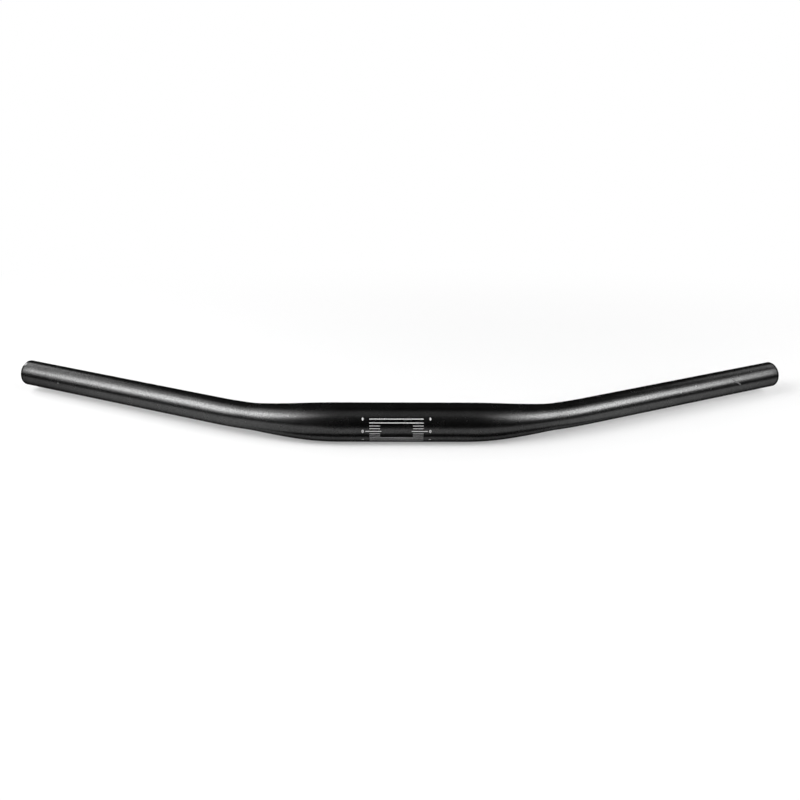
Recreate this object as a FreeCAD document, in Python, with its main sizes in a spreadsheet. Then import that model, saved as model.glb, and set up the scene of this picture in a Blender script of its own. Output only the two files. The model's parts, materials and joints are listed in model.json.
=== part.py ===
import FreeCAD, Part
import math
import os

import Sketcher

# City bike handlebar: one aluminium tube that is widest in the middle, where the stem clamps it, narrows
# to the grip diameter through a tapered shoulder, and is bent back towards the rider on both sides.
# Millimetres. The origin is the middle of the clamp zone. +X runs along the clamp axis towards the rider's
# left hand, +Y points back at the rider and +Z is up. Both arms lie in the XY plane.

NODE = "handlebar"

# Driving dimensions: alias, value and meaning.
DIMENSIONS = [
    ("overall_width", 680.0, "tip to tip, across the front corners of both ends"),
    ("clamp_diameter", 31.8, "outside diameter of the clamp zone"),
    ("clamp_straight", 100.0, "straight length of the clamp zone"),
    ("grip_diameter", 22.2, "outside diameter of the grip tubes"),
    ("backsweep", 23.0, "degrees that each arm is bent back"),
    ("bend_radius", 262.0, "centreline radius of each bend"),
    ("shoulder_length", 71.0, "along the bend, from the clamp zone to the middle of the foot"),
    ("crown_length", 35.0, "part of the shoulder that rounds over from the clamp zone"),
    ("foot_blend", 6.0, "half the length of the hollow blend into the grip tube"),
    ("clamp_wall", 2.6, "wall thickness in the clamp zone"),
    ("grip_wall", 2.2, "wall thickness of the grip tubes"),
    ("rim_round", 0.8, "rounding of the outer edge at a cut end"),
    ("rim_break", 0.4, "chamfer of the inner edge at a cut end"),
]

# Sizes that follow from the driving dimensions.
HALF_CLAMP = "dims.clamp_straight / 2"
CLAMP_RADIUS = "dims.clamp_diameter / 2"
GRIP_RADIUS = "dims.grip_diameter / 2"
CLAMP_BORE = f"{CLAMP_RADIUS} - dims.clamp_wall"
GRIP_BORE = f"{GRIP_RADIUS} - dims.grip_wall"
SHOULDER_END = "(dims.shoulder_length + dims.foot_blend)"
BEND_END = "(dims.bend_radius * dims.backsweep * pi / 180)"
SLOPE = "((dims.clamp_diameter - dims.grip_diameter) / 2 / (dims.shoulder_length - dims.crown_length / 2))"
END_CORNER = (
    "(dims.grip_diameter / 2 * sin(dims.backsweep)"
    " - dims.rim_round * (sin(dims.backsweep) + cos(dims.backsweep) - 1))"
)
GRIP_LENGTH = (
    "(dims.overall_width / 2 - dims.clamp_straight / 2"
    f" - dims.bend_radius * sin(dims.backsweep) - {END_CORNER}) / cos(dims.backsweep)"
)

# Stations of the shoulder: name, distance along the bend and outside radius. The crown leaves the clamp
# zone tangentially and steepens as a parabola, the cone keeps that slope, and the foot levels out as a
# second parabola that meets the grip tube tangentially.
CONE_START = f"({CLAMP_RADIUS} - {SLOPE} * dims.crown_length / 2)"
CONE_END = f"({GRIP_RADIUS} + {SLOPE} * dims.foot_blend)"
FOOT_START = "(dims.shoulder_length - dims.foot_blend)"
STATIONS = [
    ("crown_start", "0", CLAMP_RADIUS),
    ("crown_quarter", "dims.crown_length / 4", f"{CLAMP_RADIUS} - {SLOPE} * dims.crown_length / 32"),
    ("crown_middle", "dims.crown_length / 2", f"{CLAMP_RADIUS} - {SLOPE} * dims.crown_length / 8"),
    ("crown_end", "dims.crown_length", CONE_START),
    ("cone_middle", f"(dims.crown_length + {FOOT_START}) / 2", f"({CONE_START} + {CONE_END}) / 2"),
    ("foot_start", FOOT_START, CONE_END),
    ("foot_middle", "dims.shoulder_length", f"{GRIP_RADIUS} + {SLOPE} * dims.foot_blend / 4"),
    ("foot_end", SHOULDER_END, GRIP_RADIUS),
]

# The sketched path has two arcs, one under the shoulder and one along the rest of the bend.
SHOULDER_ARC = "Edge1"
PLAIN_ARC = "Edge2"


def make_sheet(doc):
    """Write the driving dimensions to a spreadsheet with one alias a row."""
    sheet = doc.addObject("Spreadsheet::Sheet", "dims")
    for row, (alias, value, meaning) in enumerate(DIMENSIONS, start=1):
        sheet.set(f"A{row}", alias)
        sheet.set(f"B{row}", str(value))
        sheet.set(f"C{row}", meaning)
        sheet.setAlias(f"B{row}", alias)
    doc.recompute()
    return sheet


def turn_at(distance):
    """Degrees that the tube has turned at a distance along the bend."""
    return f"(({distance}) / dims.bend_radius * 180 / pi)"


def wall_at(distance):
    """Wall of the butted shoulder, which thins evenly from the clamp zone to the grip tube."""
    return f"(dims.clamp_wall + (dims.grip_wall - dims.clamp_wall) * ({distance}) / {SHOULDER_END})"


def attach(sketch, plane):
    sketch.AttachmentSupport = [(plane, "")]
    sketch.MapMode = "FlatFace"


def bind(sketch, constraint, name, expression):
    """Add a dimension to a sketch, name it and let the sheet drive it."""
    index = sketch.addConstraint(constraint)
    sketch.renameConstraint(index, name)
    sketch.setExpression(f"Constraints.{name}", expression)


def section(body, planes, name, distance, radius):
    """Draw a round section square to the centreline, at a distance along the bend."""
    sketch = body.newObject("Sketcher::SketchObject", name)
    attach(sketch, planes["YZ_Plane"])
    # The plane's own Y axis points up, so the section turns about it with the bend. The first angle only
    # sets that axis, and the bound one replaces it.
    upright = FreeCAD.Vector(0, 1, 0)
    sketch.AttachmentOffset = FreeCAD.Placement(FreeCAD.Vector(), FreeCAD.Rotation(upright, 90))
    turn = turn_at(distance)
    sketch.setExpression("AttachmentOffset.Base.x", f"dims.bend_radius * (1 - cos({turn}))")
    sketch.setExpression("AttachmentOffset.Base.z", f"{HALF_CLAMP} + dims.bend_radius * sin({turn})")
    sketch.setExpression("AttachmentOffset.Rotation.Angle", turn)
    sketch.addGeometry(Part.Circle())
    sketch.addConstraint(Sketcher.Constraint("Coincident", 0, 3, -1, 1))
    bind(sketch, Sketcher.Constraint("Radius", 0, 1), "radius", radius)
    return sketch


def bend_path(body, planes, sheet):
    """Draw the bent centreline: two arcs about one centre, split where the shoulder ends."""
    sketch = body.newObject("Sketcher::SketchObject", "bend_path")
    attach(sketch, planes["XY_Plane"])
    radius = sheet.bend_radius
    start_x = sheet.clamp_straight / 2
    shoulder_turn = (sheet.shoulder_length + sheet.foot_blend) / radius
    full_turn = math.radians(sheet.backsweep)
    circle = Part.Circle(FreeCAD.Vector(start_x, radius, 0), FreeCAD.Vector(0, 0, 1), radius)
    straight_down = -math.pi / 2
    split = straight_down + shoulder_turn
    sketch.addGeometry(Part.ArcOfCircle(circle, straight_down, split))
    sketch.addGeometry(Part.ArcOfCircle(circle, split, straight_down + full_turn))
    sketch.addConstraint(Sketcher.Constraint("Coincident", 1, 3, 0, 3))
    sketch.addConstraint(Sketcher.Constraint("Coincident", 1, 1, 0, 2))
    sketch.addConstraint(Sketcher.Constraint("PointOnObject", 0, 1, -1))
    sketch.addConstraint(Sketcher.Constraint("Vertical", 0, 1, 0, 3))
    bind(sketch, Sketcher.Constraint("DistanceX", -1, 1, 0, 1, start_x), "bend_start", HALF_CLAMP)
    bind(sketch, Sketcher.Constraint("Radius", 0, radius), "bend_radius", "dims.bend_radius")
    shoulder_angle = turn_at(SHOULDER_END)
    plain_angle = f"dims.backsweep - {shoulder_angle}"
    bind(sketch, Sketcher.Constraint("Angle", 0, shoulder_turn), "shoulder_turn", shoulder_angle)
    bind(sketch, Sketcher.Constraint("Angle", 1, full_turn - shoulder_turn), "plain_turn", plain_angle)
    return sketch


def straight(body, kind, name, profile, length, reverse):
    """Extrude a section along the straight tube: a Pad adds, a Pocket cuts."""
    feature = body.newObject(f"PartDesign::{kind}", name)
    feature.Profile = profile
    feature.setExpression("Length", length)
    feature.Reversed = reverse
    body.Document.recompute()
    return feature


def swept(body, kind, name, path, arc, sections):
    """Carry one or more sections along an arc of the bend: Additive adds, Subtractive cuts."""
    feature = body.newObject(f"PartDesign::{kind}Pipe", name)
    feature.Profile = sections[0]
    feature.Spine = (path, [arc])
    if len(sections) > 1:
        feature.Sections = sections[1:]
        feature.Transformation = "Multisection"
    body.Document.recompute()
    return feature


def outer_half(body, planes, path):
    """Fill the outside form of one half, from the middle of the clamp zone to the cut end."""
    clamp = section(body, planes, "clamp_section", "0", CLAMP_RADIUS)
    straight(body, "Pad", "clamp_zone", clamp, HALF_CLAMP, True)
    stations = [section(body, planes, *station) for station in STATIONS]
    swept(body, "Additive", "shoulder", path, SHOULDER_ARC, stations)
    bend = section(body, planes, "bend_section", SHOULDER_END, GRIP_RADIUS)
    swept(body, "Additive", "bend", path, PLAIN_ARC, [bend])
    grip = section(body, planes, "grip_section", BEND_END, GRIP_RADIUS)
    return straight(body, "Pad", "grip_tube", grip, GRIP_LENGTH, False)


def bore_half(body, planes, path):
    """Hollow the half with the same run of sections, less the wall, and check that each step cuts."""
    volume = body.Shape.Volume
    clamp = section(body, planes, "clamp_bore_section", "0", CLAMP_BORE)
    cuts = [straight(body, "Pocket", "clamp_bore", clamp, HALF_CLAMP, False)]
    stations = []
    for name, distance, radius in STATIONS:
        inside = f"{radius} - {wall_at(distance)}"
        stations.append(section(body, planes, f"{name}_bore", distance, inside))
    cuts.append(swept(body, "Subtractive", "shoulder_bore", path, SHOULDER_ARC, stations))
    bend = section(body, planes, "bend_bore_section", SHOULDER_END, GRIP_BORE)
    cuts.append(swept(body, "Subtractive", "bend_bore", path, PLAIN_ARC, [bend]))
    grip = section(body, planes, "grip_bore_section", BEND_END, GRIP_BORE)
    cuts.append(straight(body, "Pocket", "grip_bore", grip, GRIP_LENGTH, True))
    for cut in cuts:
        if cut.Shape.Volume >= volume:
            raise RuntimeError(f"{cut.Name} removes nothing")
        volume = cut.Shape.Volume
    return cuts[-1]


def end_edge(shape, radius):
    """Name the round edge of a given radius that lies furthest out along X."""
    found = []
    for index, edge in enumerate(shape.Edges, start=1):
        if isinstance(edge.Curve, Part.Circle) and math.isclose(edge.Curve.Radius, radius, abs_tol=1e-6):
            found.append((edge.Curve.Center.x, f"Edge{index}"))
    return max(found)[1]


def finish_rim(body, sheet):
    """Round the outer edge of the cut end and break the inner one."""
    tube = body.Tip
    outer = body.newObject("PartDesign::Fillet", "rim_round")
    outer.Base = (tube, [end_edge(tube.Shape, sheet.grip_diameter / 2)])
    outer.setExpression("Radius", "dims.rim_round")
    body.Document.recompute()
    inner = body.newObject("PartDesign::Chamfer", "rim_break")
    inner.Base = (outer, [end_edge(outer.Shape, sheet.grip_diameter / 2 - sheet.grip_wall)])
    inner.setExpression("Size", "dims.rim_break")
    body.Document.recompute()


def mirror_half(body, planes):
    """Copy the finished half to the other side of the clamp zone's middle."""
    mirrored = body.newObject("PartDesign::Mirrored", "both_arms")
    mirrored.MirrorPlane = (planes["YZ_Plane"], [""])
    mirrored.TransformMode = "Whole shape"
    body.Tip = mirrored
    body.Document.recompute()


def check(doc, body):
    """Stop before anything is written if a feature failed or the tube isn't one valid solid."""
    for obj in doc.Objects:
        if "Invalid" in obj.State or "Error" in obj.State:
            raise RuntimeError(f"{obj.Name} failed: {obj.State}")
    shape = body.Shape
    if shape.isNull() or not shape.isValid() or len(shape.Solids) != 1:
        raise RuntimeError(f"{body.Label} is not one valid solid")


doc = FreeCAD.newDocument(NODE)
sheet = make_sheet(doc)
body = doc.addObject("PartDesign::Body", NODE)
body.Label = NODE
planes = {feature.Role: feature for feature in body.Origin.OriginFeatures}
path = bend_path(body, planes, sheet)
outer_half(body, planes, path)
bore_half(body, planes, path)
finish_rim(body, sheet)
mirror_half(body, planes)
check(doc, body)

os.makedirs("parts", exist_ok=True)
body.Shape.exportStep(f"parts/{NODE}.step")
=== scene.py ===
import json
import math

import bmesh
import bpy
from mathutils import Matrix, Vector


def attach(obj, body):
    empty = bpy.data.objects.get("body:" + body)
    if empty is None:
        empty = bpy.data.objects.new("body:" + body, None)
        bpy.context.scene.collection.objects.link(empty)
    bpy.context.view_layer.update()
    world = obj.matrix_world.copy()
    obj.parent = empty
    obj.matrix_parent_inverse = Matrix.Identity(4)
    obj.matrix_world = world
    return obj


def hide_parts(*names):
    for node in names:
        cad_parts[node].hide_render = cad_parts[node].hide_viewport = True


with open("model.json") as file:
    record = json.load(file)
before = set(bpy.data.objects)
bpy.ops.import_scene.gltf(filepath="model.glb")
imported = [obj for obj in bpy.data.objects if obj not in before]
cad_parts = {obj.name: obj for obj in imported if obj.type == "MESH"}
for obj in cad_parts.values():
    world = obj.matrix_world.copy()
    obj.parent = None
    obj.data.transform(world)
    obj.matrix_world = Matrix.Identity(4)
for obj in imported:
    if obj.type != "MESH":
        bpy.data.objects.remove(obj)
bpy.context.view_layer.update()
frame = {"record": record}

MM = 0.001

# The tube, in metres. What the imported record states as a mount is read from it, and the rest is named here.
mounts = {mount["name"]: mount for mount in frame["record"]["mounts"]}
CLAMP_RADIUS = mounts["stem_clamp"]["dims"]["r_mm"] * MM
CLAMP_HALF = mounts["stem_clamp"]["dims"]["length_mm"] * MM / 2
GRIP_RADIUS = mounts["left_grip"]["dims"]["r_mm"] * MM
GRIP_WALL = GRIP_RADIUS - mounts["left_end_bore"]["dims"]["r_mm"] * MM
GRIP_AXIS = Vector(mounts["left_grip"]["axis"])
SWEEP = math.atan2(GRIP_AXIS.y, GRIP_AXIS.x)
BEND_RADIUS = 262 * MM
SHOULDER_LENGTH = 71 * MM
CROWN_LENGTH = 35 * MM
FOOT_BLEND = 6 * MM
CLAMP_WALL = 2.6 * MM
RIM_ROUND = 0.8 * MM
RIM_BREAK = 0.4 * MM
BEND_LENGTH = BEND_RADIUS * SWEEP
BEND_END = CLAMP_HALF + BEND_LENGTH
GRIP_LENGTH = mounts["left_grip"]["dims"]["length_mm"] * MM + RIM_ROUND
ARM_LENGTH = BEND_END + GRIP_LENGTH

# How finely the tube is drawn: edges round it, and the longest step along each stretch.
SIDES = 128
CLAMP_STEP = 10 * MM
BEND_STEP = 2 * MM
GRIP_STEP = 10 * MM
RIM_STEPS = 6
SHARP_EDGE = math.radians(30)
MERGE = MM / 1000

# The printed scale on the front of the clamp zone. Angles are in degrees above straight forward.
SCALE_MIDDLE = -4.4 * MM
SCALE_ANGLE = -0.7
PRINT_PROUD = 0.02 * MM
PRINT_DEPTH = 0.05 * MM
LINE_WIDTH = 0.62 * MM
SHORT_WIDTH = 0.44 * MM
LONG_ANGLES = (36.0, 25.0, -25.0, -36.0)
SHORT_ANGLES = (16.3, 8.3, -8.3, -16.3)
LONG_REACH = 21.4 * MM
SHORT_START = 13.0 * MM
DATUM_START = 12.0 * MM
DATUM_REACH = 24.5 * MM
SYMBOL_PLACE = 26.7 * MM
SYMBOL_ANGLE = 36.0
DASH_ANGLE = -32.5
SYMBOL_WIDTH = 1.8 * MM
SYMBOL_HEIGHT = 2.6 * MM
STROKE = 0.65 * MM
NOUGHT_SIDES = 32

# Blasted grain: noise for the pits, for the wider dimples and for a slow cloudiness, in cells per metre.
PITS = {"Scale": 2600, "Detail": 2, "Roughness": 0.6}
DIMPLES = {"Scale": 1300, "Detail": 2}
CLOUD = {"Scale": 90, "Detail": 3}
GRAIN_STRENGTH = 0.4
GRAIN_DEPTH = 0.05 * MM

# Most of what a noise gives lies between these two values, so they are where a mask starts and ends.
NOISE_LOW = 0.3
NOISE_HIGH = 0.7

# Finish of the tube. Colours are linear. An edge tint under 1 darkens the reflections near grazing angles.
ANODISED_COLOUR = 0.082
ANODISED_ROUGHNESS = 0.265
SPECKLE_SPREAD = 0.38
CLOUD_SPREAD = 0.05
ROUGHNESS_SPREAD = 0.015
EDGE_TINT = 0.25
WORN_COLOUR = 0.5
WORN_ROUGHNESS = 0.6
# The last stretch of each end is darker: its colour, how far back from the rounded rim it begins, and over
# how much it fades in.
END_BAND_COLOUR = 0.01
END_BAND_REACH = 1.7 * MM
END_BAND_FADE = 0.7 * MM

# Finish of the bore, with lines from drawing: their cells per metre along the tube and round it.
BORE_COLOUR = 0.09
BORE_ROUGHNESS = 0.45
BORE_SPREAD = 0.08
BORE_LINES = (12, 2500, 1)
BORE_LINE_DETAIL = 3
BORE_PITS = 0.3
BORE_STRENGTH = 0.3

# Finish of the print, and the share of its colour that is left where it is thin.
PRINT_COLOUR = 0.8
PRINT_THIN = 0.9
PRINT_ROUGHNESS = 0.55

# Handling marks, and a pale spot on the rim at one end: millimetres along the bar from its middle, degrees
# above straight forward, and radius of each speck in millimetres with its strength. The first row is that
# pale spot. The scratch runs between two such places. A mark is even over its core, which is a share of its
# radius, and fades from there.
SPECKS = [
    (-353.6, 66.0, 2.6, 0.75),
    (-312.0, 7.3, 1.0, 0.6),
    (276.9, 16.5, 0.6, 0.25),
    (261.9, 43.3, 0.7, 0.25),
    (244.7, 25.8, 0.6, 0.25),
    (213.3, 87.0, 0.6, 0.25),
]
SCRATCH_START = (302.2, 37.0)
SCRATCH_END = (309.8, 9.8)
SCRATCH_WIDTH = 0.9 * MM
SCRATCH_COLOUR = 0.14
SCRATCH_ROUGHNESS = 0.7
MARK_CORE = 0.3

# The photograph's camera: where it stands, where it looks, and its focal length on a 36 mm sensor.
CAMERA_PLACE = Vector((-7.1, -626.5, 315.8)) * MM
CAMERA_AZIMUTH = -0.5
CAMERA_ELEVATION = 25.296
CAMERA_ROLL = 0.339
CAMERA_LENS = 39.18
CAMERA_CLIP = 10 * MM
SENSOR_WIDTH = 36.0

# The floor, in metres. The camera sees a pale matt floor near the bar, which keeps the shadow, with a share
# of white glow that grows to all of it further out. The squeeze along X makes these rings long ovals. Light
# that bounces off the floor meets a darker colour.
FLOOR_RADIUS = 60.0
FLOOR_SIDES = 64
FLOOR_COLOUR = 0.95
BOUNCE_COLOUR = 0.4
FLOOR_SQUEEZE = 0.45
NEAR_GLOW = 0.3
NEAR_RADIUS = 0.1
FAR_RADIUS = 0.5

# Reflections see an even share of the floor's white, with a few dimmer patches of painted shade. Each patch
# has a place, the radii where it starts and stops fading, and the share that is left in its middle.
MIRRORED_GLOW = 0.84
FLOOR_SHADES = [
    ((0.015, -0.045), 0.05, 0.085, 0.35),
    ((-0.39, 0.08), 0.015, 0.07, 0.25),
]

# The surround is white to the camera and nearly black otherwise. Reflections also see a low sky, which fades
# out between two heights above the horizon, and a weak one at the back, which fades in along +Y.
SURROUND = 0.008
LOW_SKY = 0.5
SKY_FADE_START = math.sin(math.radians(8))
SKY_FADE_END = math.sin(math.radians(24))
REAR_SKY = 0.07
REAR_START = 0.2
REAR_END = 0.8

# Black cards that the bar mirrors and the camera doesn't see, which paint dark reflections into the bar: a
# low wall in front of the bar, and a strip on the floor under the front of the clamp zone, which paints the
# bar's own shadow into its reflection. Each row is a distance along the bar from its middle, how far ahead of
# the centreline the card starts there, and how high the wall or how wide the strip is. Left and right are the
# picture's.
CARD_COLOUR = 0.01
WALL_END = ARM_LENGTH + 150 * MM
WALL_LEFT = [
    (0, 102 * MM, 60 * MM),
    (65 * MM, 105 * MM, 60 * MM),
    (98 * MM, 260 * MM, 93 * MM),
    (BEND_END, 180 * MM, 61 * MM),
    (225 * MM, 92 * MM, 42 * MM),
    (WALL_END, 46 * MM, 28 * MM),
]
WALL_RIGHT = [
    (0, 102 * MM, 60 * MM),
    (CLAMP_HALF, 102 * MM, 60 * MM),
    (98 * MM, 101 * MM, 57 * MM),
    (BEND_END, 85 * MM, 40 * MM),
    (205 * MM, 79 * MM, 36 * MM),
    (WALL_END, 46 * MM, 28 * MM),
]
STRIP_LIFT = 0.5 * MM
STRIP_LEFT = [
    (0, 18 * MM, 12 * MM),
    (65 * MM, 18 * MM, 11.5 * MM),
    (98 * MM, 16 * MM, 4 * MM),
    (135 * MM, 14 * MM, 0.5 * MM),
]
STRIP_RIGHT = [
    (0, 18 * MM, 12 * MM),
    (CLAMP_HALF, 18 * MM, 12.5 * MM),
    (98 * MM, 16 * MM, 10.5 * MM),
    (135 * MM, 14 * MM, 6 * MM),
    (190 * MM, 13 * MM, 0.5 * MM),
]

# Softboxes, in metres: place, the point that each faces, size and brightness. Brightness 1 looks white where
# it is mirrored fully.
SOFTBOXES = {
    "left_softbox": ((-1.2, -0.25, 0.94), (-0.2, 0.04, 0), (1.6, 1.6), 1.56),
    "left_softbox_core": ((-1.14, -0.45, 0.92), (-0.2, 0.04, 0), (0.84, 0.8), 6.8),
    "right_softbox": ((1.14, -0.53, 0.87), (0.2, 0.04, 0), (1.05, 1.22), 1.56),
    "right_softbox_core": ((1.19, -0.55, 0.79), (0.2, 0.04, 0), (0.66, 0.71), 6.8),
    "top_softbox": ((0, -0.32, 1.26), (0, 0, 0), (2.0, 0.76), 0.23),
    "right_end_softbox": ((0.82, 0.06, 0.35), (0.335, 0.1, 0), (0.22, 0.2), 2.2),
    "rear_left_softbox": ((-1.14, 0.83, 0.75), (-0.32, 0.1, 0), (0.59, 0.59), 3.6),
    "rear_right_softbox": ((1.14, 0.83, 0.75), (0.32, 0.1, 0), (0.59, 0.59), 1.8),
}


def turn_at(distance):
    """Angle that the tube has turned through at a distance along it from the middle."""
    return min(max(distance - CLAMP_HALF, 0) / BEND_RADIUS, SWEEP)


def centre_at(distance):
    """Point on the centreline of the left-hand arm at a distance from the middle."""
    turn = turn_at(distance)
    straight_in = min(distance, CLAMP_HALF)
    straight_out = max(distance - BEND_END, 0)
    x = straight_in + BEND_RADIUS * math.sin(turn) + straight_out * math.cos(SWEEP)
    y = BEND_RADIUS * (1 - math.cos(turn)) + straight_out * math.sin(SWEEP)
    return Vector((x, y, 0))


def outer_radius(distance):
    """Outside radius: clamp zone, rounded crown, cone, hollow foot and grip tube."""
    along = distance - CLAMP_HALF
    slope = (CLAMP_RADIUS - GRIP_RADIUS) / (SHOULDER_LENGTH - CROWN_LENGTH / 2)
    if along <= 0:
        return CLAMP_RADIUS
    if along <= CROWN_LENGTH:
        return CLAMP_RADIUS - slope * along ** 2 / (2 * CROWN_LENGTH)
    if along <= SHOULDER_LENGTH - FOOT_BLEND:
        return CLAMP_RADIUS - slope * (along - CROWN_LENGTH / 2)
    if along <= SHOULDER_LENGTH + FOOT_BLEND:
        return GRIP_RADIUS + slope * (SHOULDER_LENGTH + FOOT_BLEND - along) ** 2 / (4 * FOOT_BLEND)
    return GRIP_RADIUS


def inner_radius(distance):
    """Inside radius: the wall thins evenly over the shoulder."""
    share = (distance - CLAMP_HALF) / (SHOULDER_LENGTH + FOOT_BLEND)
    share = min(max(share, 0), 1)
    return outer_radius(distance) - CLAMP_WALL - (GRIP_WALL - CLAMP_WALL) * share


def steps(start, end, longest):
    """Evenly spaced distances after start, up to and with end."""
    count = math.ceil(abs(end - start) / longest)
    return [start + (end - start) * (i + 1) / count for i in range(count)]


def outside_profile():
    """Distance and radius from the middle out to the rounded rim of one arm."""
    distances = [0] + steps(0, CLAMP_HALF, CLAMP_STEP) + steps(CLAMP_HALF, BEND_END, BEND_STEP)
    distances += steps(BEND_END, ARM_LENGTH - RIM_ROUND, GRIP_STEP)
    profile = [(distance, outer_radius(distance)) for distance in distances]
    for corner in steps(0, math.pi / 2, math.pi / 2 / RIM_STEPS):
        distance = ARM_LENGTH - RIM_ROUND + RIM_ROUND * math.sin(corner)
        profile.append((distance, GRIP_RADIUS - RIM_ROUND + RIM_ROUND * math.cos(corner)))
    profile.append((ARM_LENGTH, GRIP_RADIUS - GRIP_WALL + RIM_BREAK))
    return profile


def bore_profile():
    """Distance and radius from the broken inner edge of one arm back to the middle."""
    mouth = ARM_LENGTH - RIM_BREAK
    distances = [mouth] + steps(mouth, BEND_END, GRIP_STEP) + steps(BEND_END, CLAMP_HALF, BEND_STEP)
    distances += steps(CLAMP_HALF, 0, CLAMP_STEP)
    return [(distance, inner_radius(distance)) for distance in distances]


def section_place(distance, radius):
    """Matrix that puts a unit ring, drawn square to X, at a distance along the arm."""
    place = Matrix.Translation(centre_at(distance)) @ Matrix.Rotation(turn_at(distance), 4, "Z")
    return place @ Matrix.Diagonal((1, radius, radius, 1))


def unroll(point):
    """Distance along the bar from its middle, and the angle round it from straight forward, upwards."""
    side = math.copysign(1, point.x)
    x = abs(point.x)
    turn = math.atan2(x - CLAMP_HALF, BEND_RADIUS - point.y)
    if x <= CLAMP_HALF:
        along, forward = x, -point.y
    elif turn <= SWEEP:
        along = CLAMP_HALF + BEND_RADIUS * turn
        forward = math.hypot(x - CLAMP_HALF, BEND_RADIUS - point.y) - BEND_RADIUS
    else:
        offset = Vector((x, point.y, 0)) - centre_at(BEND_END)
        along = BEND_END + offset.dot(GRIP_AXIS)
        forward = offset.x * math.sin(SWEEP) - offset.y * math.cos(SWEEP)
    return side * along, math.atan2(point.z, forward)


def new_piece(name, bm, materials):
    """Turn a finished bmesh into an object at the origin, with its materials."""
    mesh = bpy.data.meshes.new(name)
    bm.to_mesh(mesh)
    bm.free()
    for material in materials:
        mesh.materials.append(material)
    piece = bpy.data.objects.new(name, mesh)
    bpy.context.scene.collection.objects.link(piece)
    return piece


def extrude_ring(bm, edges, place, next_place):
    """Grow a ring or row of edges to its next place, and give its new edges and faces."""
    grown = bmesh.ops.extrude_edge_only(bm, edges=edges)["geom"]
    verts = [part for part in grown if isinstance(part, bmesh.types.BMVert)]
    faces = [part for part in grown if isinstance(part, bmesh.types.BMFace)]
    fresh = set(verts)
    rim = [part for part in grown if isinstance(part, bmesh.types.BMEdge) and fresh.issuperset(part.verts)]
    bmesh.ops.transform(bm, matrix=next_place @ place.inverted(), verts=verts)
    return rim, faces


def mark_sharp_edges(bm):
    """Shade every edge smooth, except the sharp ones."""
    for edge in bm.edges:
        edge.smooth = edge.calc_face_angle(0) < SHARP_EDGE


def unwrap_tube(bm):
    """Lay the surface out flat in metres: along the bar, and round it from a seam at the back."""
    layer = bm.loops.layers.uv.new("tube")
    for face in bm.faces:
        middle = unroll(face.calc_center_median())[1]
        for loop in face.loops:
            along, angle = unroll(loop.vert.co)
            angle = middle + math.remainder(angle - middle, math.tau)
            loop[layer].uv = (along, angle * GRIP_RADIUS)


def draw_tube(materials):
    """Extrude one ring along the left-hand arm and back through its bore, then mirror it to the other arm.

    The first material is for the outside and the second for the bore.
    """
    bm = bmesh.new()
    outside = outside_profile()
    ring = bmesh.ops.create_circle(bm, cap_ends=False, segments=SIDES, radius=1)["verts"]
    place = section_place(*outside[0])
    bmesh.ops.transform(bm, matrix=place @ Matrix.Rotation(math.pi / 2, 4, "Y"), verts=ring)
    edges = list(bm.edges)
    for finish, profile in enumerate((outside[1:], bore_profile())):
        for distance, radius in profile:
            next_place = section_place(distance, radius)
            edges, faces = extrude_ring(bm, edges, place, next_place)
            place = next_place
            for face in faces:
                face.material_index = finish
                face.smooth = True
    everything = list(bm.verts) + list(bm.edges) + list(bm.faces)
    bmesh.ops.mirror(bm, geom=everything, axis="X", merge_dist=MERGE)
    bmesh.ops.recalc_face_normals(bm, faces=list(bm.faces))
    mark_sharp_edges(bm)
    unwrap_tube(bm)
    return new_piece("bar_tube", bm, materials)


def print_patch(bm, left, right, low, high):
    """Spin an edge on the clamp zone into a thin curved patch between two angles, with a step per degree."""
    radius = CLAMP_RADIUS + PRINT_PROUD
    turn = math.radians(high - low)
    lift = Matrix.Rotation(-math.radians(low), 3, "X")
    ends = [bm.verts.new(lift @ Vector((x, -radius, 0))) for x in (left, right)]
    edge = bm.edges.new(ends)
    spin_steps = max(2, math.ceil(math.degrees(turn)))
    bmesh.ops.spin(bm, geom=ends + [edge], axis=(1, 0, 0), angle=-turn, steps=spin_steps, use_merge=False)


def print_line(bm, left, right, angle, width):
    """A printed line along the bar, at an angle in degrees above straight forward."""
    half = math.degrees(width / CLAMP_RADIUS) / 2
    print_patch(bm, SCALE_MIDDLE + left, SCALE_MIDDLE + right, angle - half, angle + half)


def print_plus(bm, middle, angle):
    """A plus sign of one upright and two side strokes."""
    print_line(bm, middle - STROKE / 2, middle + STROKE / 2, angle, SYMBOL_HEIGHT)
    print_line(bm, middle - SYMBOL_WIDTH / 2, middle - STROKE / 2, angle, STROKE)
    print_line(bm, middle + STROKE / 2, middle + SYMBOL_WIDTH / 2, angle, STROKE)


def print_nought(bm, middle):
    """A nought on the datum row: two flat rings, bridged and bent onto the clamp zone."""
    before = set(bm.verts)
    loops = []
    for shrink in (0, STROKE):
        ring = bmesh.ops.create_circle(bm, cap_ends=False, segments=NOUGHT_SIDES, radius=0.5)["verts"]
        stretch = Matrix.Diagonal((SYMBOL_WIDTH - shrink * 2, SYMBOL_HEIGHT - shrink * 2, 1, 1))
        bmesh.ops.transform(bm, matrix=stretch, verts=ring)
        loops += list({edge for vert in ring for edge in vert.link_edges})
    bmesh.ops.bridge_loops(bm, edges=loops)
    radius = CLAMP_RADIUS + PRINT_PROUD
    for vert in set(bm.verts) - before:
        angle = vert.co.y / radius
        x = SCALE_MIDDLE + middle + vert.co.x
        vert.co = Vector((x, -radius * math.cos(angle), radius * math.sin(angle)))


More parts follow.
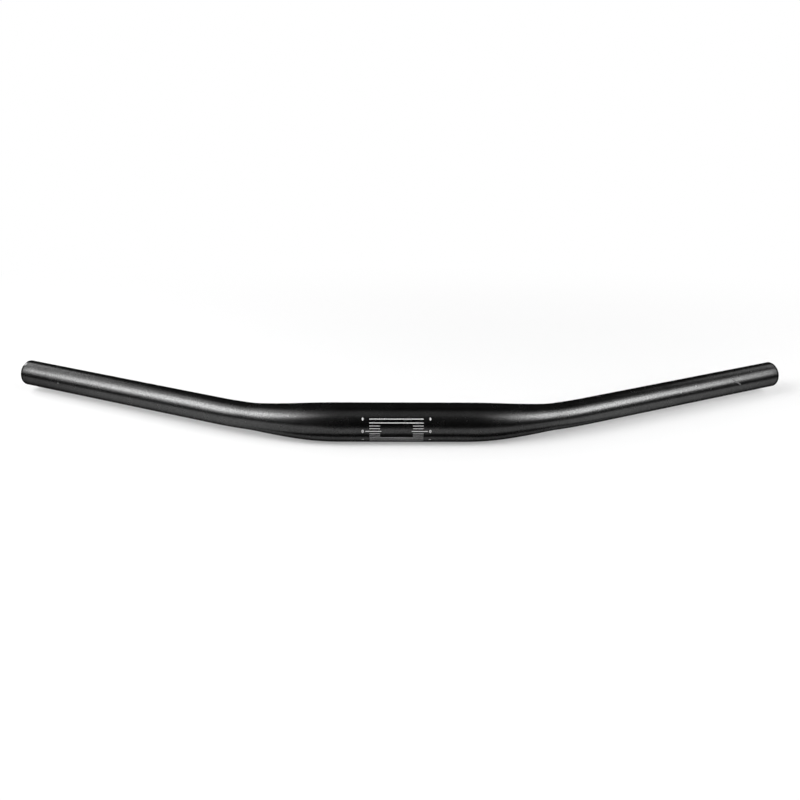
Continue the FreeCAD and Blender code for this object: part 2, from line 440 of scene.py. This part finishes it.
def draw_scale(material):
    """The adjusting scale: long and short lines either side of a datum, with plus, nought and minus."""
    bm = bmesh.new()
    for angle in LONG_ANGLES:
        print_line(bm, -LONG_REACH, LONG_REACH, angle, LINE_WIDTH)
    for side in (-1, 1):
        for angle in SHORT_ANGLES:
            print_line(bm, *sorted((side * SHORT_START, side * LONG_REACH)), angle, SHORT_WIDTH)
        print_line(bm, *sorted((side * DATUM_START, side * DATUM_REACH)), 0, LINE_WIDTH)
        symbol = side * SYMBOL_PLACE
        print_plus(bm, symbol, SYMBOL_ANGLE)
        print_nought(bm, symbol)
        print_line(bm, symbol - SYMBOL_WIDTH / 2, symbol + SYMBOL_WIDTH / 2, DASH_ANGLE, STROKE)
    turn = Matrix.Rotation(-math.radians(SCALE_ANGLE), 3, "X")
    bmesh.ops.rotate(bm, verts=list(bm.verts), matrix=turn)
    bmesh.ops.remove_doubles(bm, verts=list(bm.verts), dist=MERGE)
    bmesh.ops.recalc_face_normals(bm, faces=list(bm.faces))
    inward = [face for face in bm.faces if face.normal.y > 0]
    bmesh.ops.reverse_faces(bm, faces=inward)
    bmesh.ops.solidify(bm, geom=list(bm.faces), thickness=PRINT_DEPTH)
    for face in bm.faces:
        face.smooth = True
    mark_sharp_edges(bm)
    return new_piece("clamp_scale", bm, [material])


def add_node(tree, kind, inputs=None, **settings):
    """Add a node, set its options, and give each named input a value or the socket that feeds it."""
    node = tree.nodes.new(kind)
    for name, value in settings.items():
        setattr(node, name, value)
    for name, value in (inputs or {}).items():
        if isinstance(value, bpy.types.NodeSocket):
            tree.links.new(value, node.inputs[name])
        else:
            node.inputs[name].default_value = value
    return node


def join(tree, operation, first, second):
    """One sum on two values or sockets."""
    node = add_node(tree, "ShaderNodeMath", operation=operation)
    for socket, value in zip(node.inputs, (first, second)):
        if isinstance(value, bpy.types.NodeSocket):
            tree.links.new(value, socket)
        else:
            socket.default_value = value
    return node.outputs["Value"]


def blend(tree, mask, first, second):
    """First value where a mask is 0, second where it is 1."""
    node = add_node(tree, "ShaderNodeMix", {"Factor": mask}, data_type="FLOAT")
    tree.links.new(first, node.inputs["A"])
    node.inputs["B"].default_value = second
    return node.outputs["Result"]


def between(tree, noise, low, high):
    """A value that follows a noise from low to high."""
    ends = {"Value": noise, "From Min": NOISE_LOW, "From Max": NOISE_HIGH, "To Min": low, "To Max": high}
    return add_node(tree, "ShaderNodeMapRange", ends).outputs["Result"]


def fade(tree, distance, start, end, near, far):
    """A value that goes smoothly from near to far between two distances."""
    ends = {"Value": distance, "From Min": start, "From Max": end, "To Min": near, "To Max": far}
    return add_node(tree, "ShaderNodeMapRange", ends, interpolation_type="SMOOTHSTEP").outputs["Result"]


def distance_from(tree, place, point):
    """How far a place is from a fixed point."""
    node = add_node(tree, "ShaderNodeVectorMath", operation="DISTANCE")
    tree.links.new(place, node.inputs[0])
    node.inputs[1].default_value = point
    return node.outputs["Value"]


def grey(value):
    """A neutral colour."""
    return (value, value, value, 1)


def new_group(name, outputs):
    """An empty shader group with a number for each named output."""
    group = bpy.data.node_groups.new(name, "ShaderNodeTree")
    for socket in outputs:
        group.interface.new_socket(socket, in_out="OUTPUT", socket_type="NodeSocketFloat")
    return group, group.nodes.new("NodeGroupOutput")


def blasted_grain_group():
    """Fine pits of a blasted surface, with a slow cloudiness over it."""
    group, result = new_group("blasted_grain", ["Height", "Speckle", "Cloud"])
    place = add_node(group, "ShaderNodeTexCoord").outputs["Object"]
    pits = add_node(group, "ShaderNodeTexNoise", {"Vector": place, **PITS}).outputs["Fac"]
    dimples = add_node(group, "ShaderNodeTexNoise", {"Vector": place, **DIMPLES}).outputs["Fac"]
    cloud = add_node(group, "ShaderNodeTexNoise", {"Vector": place, **CLOUD}).outputs["Fac"]
    group.links.new(join(group, "ADD", pits, dimples), result.inputs["Height"])
    group.links.new(dimples, result.inputs["Speckle"])
    group.links.new(cloud, result.inputs["Cloud"])
    return group


def new_finish(name, metallic):
    """A material, with its node tree and its Principled shader."""
    material = bpy.data.materials.new(name)
    material.use_nodes = True
    tree = material.node_tree
    shader = tree.nodes["Principled BSDF"]
    shader.inputs["Metallic"].default_value = metallic
    if metallic:
        shader.inputs["Specular Tint"].default_value = grey(EDGE_TINT)
    return material, tree, shader


def new_matt_finish(name):
    """A material without any shine, with its node tree and its Principled shader."""
    material, tree, shader = new_finish(name, 0)
    shader.inputs["Roughness"].default_value = 1
    shader.inputs["Specular IOR Level"].default_value = 0
    return material, tree, shader


def roughen(tree, shader, height, strength):
    """Let a height show as relief in the surface."""
    relief = {"Height": height, "Strength": strength, "Distance": GRAIN_DEPTH}
    bump = add_node(tree, "ShaderNodeBump", relief)
    tree.links.new(bump.outputs["Normal"], shader.inputs["Normal"])


def laid_out_surface(tree):
    """Where a point lies on the tube's laid-out surface, in metres."""
    return add_node(tree, "ShaderNodeUVMap", uv_map="tube").outputs["UV"]


def laid_out(along, degrees):
    """Place on the laid-out surface of the grip tube, in metres, from millimetres and degrees."""
    return (along * MM, math.radians(degrees) * GRIP_RADIUS, 0)


def mark_mask(tree, distance, radius, strength):
    """A soft mark that fades out at a radius."""
    return fade(tree, distance, radius * MARK_CORE, radius, strength, 0)


def end_band_mask(tree):
    """A darker band over the last stretch of both ends of the bar."""
    along = add_node(tree, "ShaderNodeSeparateXYZ", {"Vector": laid_out_surface(tree)}).outputs["X"]
    start = ARM_LENGTH - RIM_ROUND - END_BAND_REACH
    return fade(tree, join(tree, "ABSOLUTE", along, 0), start, start + END_BAND_FADE, 0, 1)


def speck_mask(tree):
    """A few pale specks, where the anodised layer is worn through to a paler metal, and a pale spot on one
    end's rim.
    """
    surface = laid_out_surface(tree)
    worn = 0.0
    for along, degrees, radius, strength in SPECKS:
        apart = distance_from(tree, surface, laid_out(along, degrees))
        worn = join(tree, "MAXIMUM", worn, mark_mask(tree, apart, radius * MM, strength))
    return worn


def scratch_mask(tree):
    """One short scratch, which is rougher than the surface round it."""
    start = Vector(laid_out(*SCRATCH_START))
    line = Vector(laid_out(*SCRATCH_END)) - start
    turn = (0, 0, math.atan2(line.y, line.x))
    along_line = add_node(
        tree,
        "ShaderNodeMapping",
        {"Vector": laid_out_surface(tree), "Location": start, "Rotation": turn},
        vector_type="TEXTURE",
    )
    parts = add_node(tree, "ShaderNodeSeparateXYZ", {"Vector": along_line.outputs["Vector"]})
    aside = join(tree, "ABSOLUTE", parts.outputs["Y"], 0)
    middle = join(tree, "SUBTRACT", parts.outputs["X"], line.length / 2)
    beyond = join(tree, "SUBTRACT", join(tree, "ABSOLUTE", middle, 0), line.length / 2)
    past_end = join(tree, "MAXIMUM", beyond, 0)
    return mark_mask(tree, join(tree, "ADD", aside, past_end), SCRATCH_WIDTH, 1)


def anodised_finish(grain):
    """Blasted and black anodised aluminium, with its handling marks, a pale spot on one rim, and a darker
    band at both ends.
    """
    material, tree, shader = new_finish("black_anodised", 1)
    surface = add_node(tree, "ShaderNodeGroup", node_tree=grain)
    worn = speck_mask(tree)
    scratch = scratch_mask(tree)
    darkest = ANODISED_COLOUR * (1 - SPECKLE_SPREAD)
    palest = ANODISED_COLOUR * (1 + SPECKLE_SPREAD)
    speckled = between(tree, surface.outputs["Speckle"], darkest, palest)
    clouded = between(tree, surface.outputs["Cloud"], 1 - CLOUD_SPREAD, 1 + CLOUD_SPREAD)
    tone = join(tree, "MULTIPLY", speckled, clouded)
    edged = blend(tree, end_band_mask(tree), tone, END_BAND_COLOUR)
    scratched = blend(tree, scratch, edged, SCRATCH_COLOUR)
    tree.links.new(blend(tree, worn, scratched, WORN_COLOUR), shader.inputs["Base Color"])
    smoothest = ANODISED_ROUGHNESS - ROUGHNESS_SPREAD
    roughest = ANODISED_ROUGHNESS + ROUGHNESS_SPREAD
    sheen = between(tree, surface.outputs["Cloud"], smoothest, roughest)
    dulled = blend(tree, scratch, sheen, SCRATCH_ROUGHNESS)
    tree.links.new(blend(tree, worn, dulled, WORN_ROUGHNESS), shader.inputs["Roughness"])
    roughen(tree, shader, surface.outputs["Height"], GRAIN_STRENGTH)
    return material


def bore_finish(grain):
    """Inside of the tube: anodised over faint lengthwise lines from drawing."""
    material, tree, shader = new_finish("bore_anodised", 1)
    shader.inputs["Base Color"].default_value = grey(BORE_COLOUR)
    stretched = add_node(tree, "ShaderNodeMapping", {"Vector": laid_out_surface(tree), "Scale": BORE_LINES})
    drawn = {"Vector": stretched.outputs["Vector"], "Scale": 1, "Detail": BORE_LINE_DETAIL}
    lines = add_node(tree, "ShaderNodeTexNoise", drawn).outputs["Fac"]
    sheen = between(tree, lines, BORE_ROUGHNESS - BORE_SPREAD, BORE_ROUGHNESS + BORE_SPREAD)
    tree.links.new(sheen, shader.inputs["Roughness"])
    pits = add_node(tree, "ShaderNodeGroup", node_tree=grain).outputs["Height"]
    height = join(tree, "ADD", lines, join(tree, "MULTIPLY", pits, BORE_PITS))
    roughen(tree, shader, height, BORE_STRENGTH)
    return material


def print_finish(grain):
    """Thin pale print on the blasted surface, a little thin in places."""
    material, tree, shader = new_finish("scale_print", 0)
    shader.inputs["Roughness"].default_value = PRINT_ROUGHNESS
    surface = add_node(tree, "ShaderNodeGroup", node_tree=grain)
    tone = between(tree, surface.outputs["Cloud"], PRINT_COLOUR * PRINT_THIN, PRINT_COLOUR)
    tree.links.new(tone, shader.inputs["Base Color"])
    roughen(tree, shader, surface.outputs["Height"], GRAIN_STRENGTH)
    return material


def sight_masks(tree):
    """1 where the camera looks, and 1 where a reflection or a view through something looks."""
    path = add_node(tree, "ShaderNodeLightPath")
    mirrored = join(tree, "MAXIMUM", path.outputs["Is Glossy Ray"], path.outputs["Is Transmission Ray"])
    return path.outputs["Is Camera Ray"], mirrored


def mirrored_glow(tree, place):
    """How much of the floor's white the bar mirrors: even, with a few dimmer patches of painted shade."""
    glow = MIRRORED_GLOW
    for (x, y), start, end, share in FLOOR_SHADES:
        apart = distance_from(tree, place, (x * FLOOR_SQUEEZE, y, 0))
        glow = join(tree, "MULTIPLY", glow, fade(tree, apart, start, end, share, 1))
    return glow


def floor_finish():
    """Pale floor that glows white to the camera and to reflections, and keeps the bar's shadow near it."""
    material, tree, matt = new_matt_finish("studio_floor")
    camera, mirrored = sight_masks(tree)
    pale = {"Value": camera, "To Min": BOUNCE_COLOUR, "To Max": FLOOR_COLOUR}
    tree.links.new(add_node(tree, "ShaderNodeMapRange", pale).outputs["Result"], matt.inputs["Base Color"])
    place = add_node(tree, "ShaderNodeTexCoord").outputs["Object"]
    squeeze = {"Vector": place, "Scale": (FLOOR_SQUEEZE, 1, 0)}
    squeezed = add_node(tree, "ShaderNodeMapping", squeeze).outputs["Vector"]
    shown_glow = fade(tree, distance_from(tree, squeezed, (0, 0, 0)), NEAR_RADIUS, FAR_RADIUS, NEAR_GLOW, 1)
    to_camera = join(tree, "MULTIPLY", camera, shown_glow)
    to_mirrors = join(tree, "MULTIPLY", mirrored, mirrored_glow(tree, squeezed))
    white = add_node(tree, "ShaderNodeEmission", {"Color": grey(1), "Strength": 1})
    mixed = add_node(tree, "ShaderNodeMixShader", {"Fac": join(tree, "ADD", to_camera, to_mirrors)})
    tree.links.new(matt.outputs["BSDF"], mixed.inputs[1])
    tree.links.new(white.outputs["Emission"], mixed.inputs[2])
    tree.links.new(mixed.outputs["Shader"], tree.nodes["Material Output"].inputs["Surface"])
    return material


def make_floor():
    """A wide round floor that the clamp zone rests on."""
    bm = bmesh.new()
    bmesh.ops.create_circle(bm, cap_ends=True, segments=FLOOR_SIDES, radius=FLOOR_RADIUS)
    bmesh.ops.translate(bm, verts=list(bm.verts), vec=(0, 0, -CLAMP_RADIUS))
    floor = new_piece("studio_floor", bm, [floor_finish()])


def card_finish():
    """Matt black card."""
    material, _, shader = new_matt_finish("black_card")
    shader.inputs["Base Color"].default_value = grey(CARD_COLOUR)
    return material


def make_card(name, direction, height, left_rows, right_rows):
    """Draw a card's edge at the middle of the bar, and extrude it along the front of each arm."""
    bm = bmesh.new()
    for side, rows in ((-1, left_rows), (1, right_rows)):
        places = []
        for distance, ahead, size in rows:
            forward = Matrix.Translation((0, -ahead, height)) @ Matrix.Diagonal((1, size, size, 1))
            places.append(Matrix.Diagonal((side, 1, 1, 1)) @ section_place(distance, 1) @ forward)
        verts = [bm.verts.new(end) for end in ((0, 0, 0), direction)]
        edges = [bm.edges.new(verts)]
        bmesh.ops.transform(bm, matrix=places[0], verts=verts)
        for place, next_place in zip(places, places[1:]):
            edges, _ = extrude_ring(bm, edges, place, next_place)
    card = new_piece(name, bm, [card_finish()])
    card.visible_camera = False
    card.visible_diffuse = False
    card.visible_shadow = False


def make_cards():
    """The upright card in front of the bar, and the flat one just above the floor, which paint dark
    reflections into the bar; the flat one paints the bar's own shadow there.
    """
    make_card("front_card", (0, 0, 1), -CLAMP_RADIUS, WALL_LEFT, WALL_RIGHT)
    make_card("shadow_strip_card", (0, -1, 0), STRIP_LIFT - CLAMP_RADIUS, STRIP_LEFT, STRIP_RIGHT)


def make_softbox(name, place, aim, size, brightness):
    """A rectangular lamp that faces a point on the bar, and that the camera doesn't see."""
    lamp = bpy.data.lights.new(name, "AREA")
    lamp.shape = "RECTANGLE"
    lamp.size, lamp.size_y = size
    lamp.energy = brightness * math.pi * lamp.size * lamp.size_y
    box = bpy.data.objects.new(name, lamp)
    box.location = place
    box.rotation_euler = (Vector(place) - Vector(aim)).to_track_quat("Z", "Y").to_euler()
    box.visible_camera = False
    bpy.context.scene.collection.objects.link(box)


def make_surround():
    """The world: white to the camera, a low and a rear sky to reflections, and nearly black otherwise."""
    world = bpy.data.worlds.new("studio")
    world.use_nodes = True
    tree = world.node_tree
    direction = add_node(tree, "ShaderNodeTexCoord").outputs["Generated"]
    parts = add_node(tree, "ShaderNodeSeparateXYZ", {"Vector": direction})
    low_sky = fade(tree, parts.outputs["Z"], SKY_FADE_START, SKY_FADE_END, LOW_SKY, 0)
    rear_sky = fade(tree, parts.outputs["Y"], REAR_START, REAR_END, 0, REAR_SKY)
    camera, mirrored = sight_masks(tree)
    sky = join(tree, "MULTIPLY", mirrored, join(tree, "MAXIMUM", low_sky, rear_sky))
    shown = join(tree, "MAXIMUM", camera, join(tree, "MAXIMUM", sky, SURROUND))
    tree.links.new(shown, tree.nodes["Background"].inputs["Color"])
    tree.nodes["Background"].inputs["Strength"].default_value = 1
    bpy.context.scene.world = world


def make_studio():
    """Floor, cards, softboxes and surround."""
    make_floor()
    make_cards()
    for name, facts in SOFTBOXES.items():
        make_softbox(name, *facts)
    make_surround()


def make_camera():
    """The photograph's camera."""
    camera = bpy.data.cameras.new("photo_camera")
    camera.sensor_width = SENSOR_WIDTH
    camera.lens = CAMERA_LENS
    camera.clip_start = CAMERA_CLIP
    viewer = bpy.data.objects.new("photo_camera", camera)
    pan = Matrix.Rotation(math.radians(CAMERA_AZIMUTH), 4, "Z")
    tilt = Matrix.Rotation(math.radians(90 - CAMERA_ELEVATION), 4, "X")
    roll = Matrix.Rotation(math.radians(CAMERA_ROLL), 4, "Z")
    viewer.matrix_world = Matrix.Translation(CAMERA_PLACE) @ pan @ tilt @ roll
    bpy.context.scene.collection.objects.link(viewer)
    bpy.context.scene.camera = viewer


grain = blasted_grain_group()
tube = draw_tube([anodised_finish(grain), bore_finish(grain)])
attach(tube, "root")
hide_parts("handlebar")
scale = draw_scale(print_finish(grain))
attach(scale, "root")

make_studio()
make_camera()
bpy.context.scene.view_settings.view_transform = "Standard"
